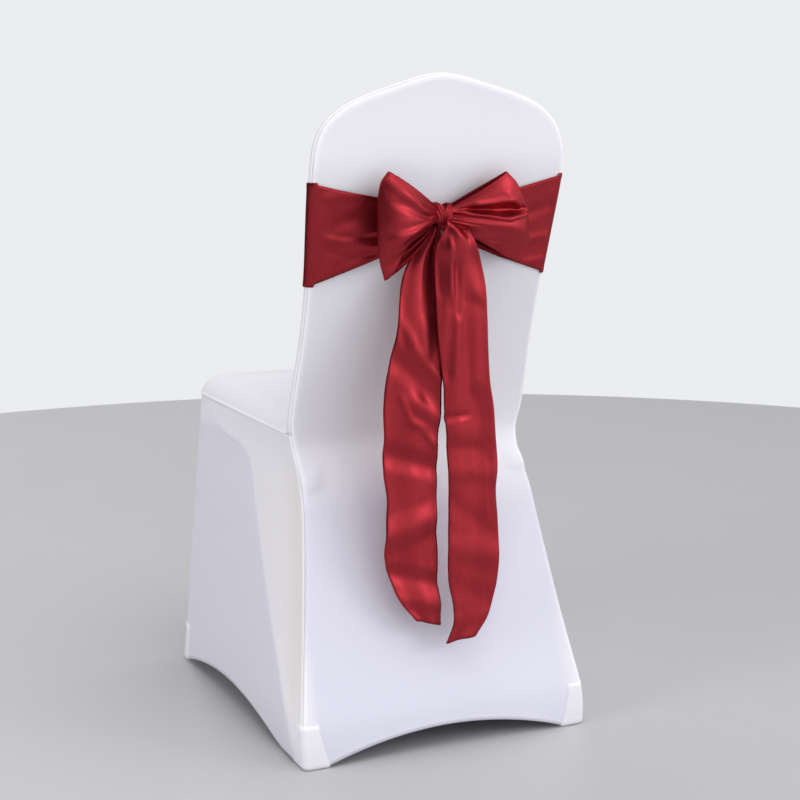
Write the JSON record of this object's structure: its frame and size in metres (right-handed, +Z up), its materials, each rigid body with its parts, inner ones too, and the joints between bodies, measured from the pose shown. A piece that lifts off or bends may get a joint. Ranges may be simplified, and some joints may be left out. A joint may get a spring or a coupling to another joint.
{
  "type": "chair cover with sash",
  "caption": "Fitted stretch cover for a banquet chair, with arched hems and foot pockets, and a satin sash wrapped round its back and tied in a bow with long tails.",
  "frame": {"origin": "on the floor, at the centre of the box round the cover and its sash", "axes": "+Z up; +Y to the rear of the chair, where the bow is; +X to a sitter's left"},
  "size_m": [0.4314, 0.5555, 0.9025],
  "materials": {
    "white_stretch_knit": "smooth matt stretch knit",
    "white_doubled_knit": "matt doubled stretch knit",
    "burgundy_satin": "glossy satin weave"
  },
  "bodies": {
    "root": {"back_panel": "white_stretch_knit", "back_front_panel": "white_stretch_knit", "seat_panel": "white_stretch_knit", "skirt_left": "white_stretch_knit", "skirt_right": "white_stretch_knit", "skirt_front": "white_stretch_knit", "foot_pocket_rear_left": "white_doubled_knit", "foot_pocket_rear_right": "white_doubled_knit", "foot_pocket_front_left": "white_doubled_knit", "foot_pocket_front_right": "white_doubled_knit", "sash": "burgundy_satin"}
  },
  "joints": []
}
